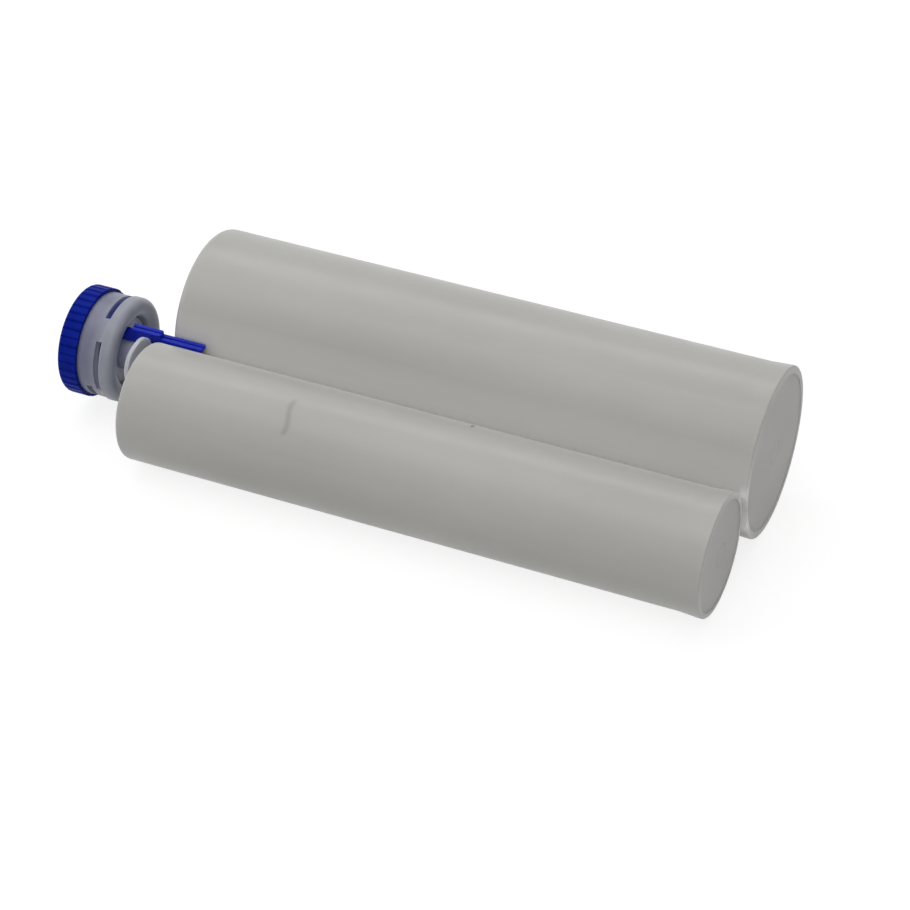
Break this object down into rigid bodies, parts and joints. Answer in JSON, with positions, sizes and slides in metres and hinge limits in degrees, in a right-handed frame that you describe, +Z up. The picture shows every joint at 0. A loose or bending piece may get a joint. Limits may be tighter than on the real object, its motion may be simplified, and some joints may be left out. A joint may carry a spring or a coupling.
{
  "type": "dual cartridge",
  "caption": "Side-by-side cartridge for two-part adhesive: a large and a small barrel, each with a flush piston, one nose, a keyed plug and a screwed collar with knurled cap.",
  "frame": {"origin": "on the ground under the middle of the part's box, as it lies on its two barrels", "axes": "+X along the barrels from the nose to the rear ends, +Y from the small barrel to the large one, +Z up"},
  "size_m": [0.2144, 0.086, 0.0518],
  "materials": {
    "barrel": "frosted natural polypropylene, translucent",
    "collar": "milky translucent polypropylene",
    "blue_plastic": "satin moulded blue",
    "piston": "satin natural polyethylene",
    "seal": "matt black elastomer",
    "vent_pin": "satin natural polyethylene"
  },
  "bodies": {
    "cartridge": {"large_barrel": "barrel", "small_barrel": "barrel", "outlet_head": "barrel"},
    "plug": {"keyed_plug": "blue_plastic"},
    "nut": {"coupling_collar": "collar", "knurled_cap": "blue_plastic"},
    "large_piston": {"large_piston": "piston", "large_piston_cover": "piston", "large_piston_ring": "seal", "large_vent_pin": "vent_pin"},
    "small_piston": {"small_piston": "piston", "small_piston_cover": "piston", "small_piston_ring": "seal", "small_vent_pin": "vent_pin"}
  },
  "joints": [
    {"name": "plug_draw", "type": "slide", "parent": "cartridge", "child": "plug", "axis": [-1, 0, 0], "range_m": [0, 0.006]},
    {"name": "nut_turn", "type": "hinge", "parent": "plug", "child": "nut", "pos_m": [-0.09663, -0.00698, 0.02158], "axis": [-1, 0, 0], "range_deg": [0, 180]},
    {"name": "large_piston_push", "type": "slide", "parent": "cartridge", "child": "large_piston", "axis": [-1, 0, 0], "range_m": [0, 0.1564]},
    {"name": "small_piston_push", "type": "slide", "parent": "cartridge", "child": "small_piston", "axis": [-1, 0, 0], "range_m": [0, 0.1564]}
  ],
  "couplings": [
    {"joint": "plug_draw", "follows": "nut_turn", "m_per_rad": 0.0019098}
  ]
}
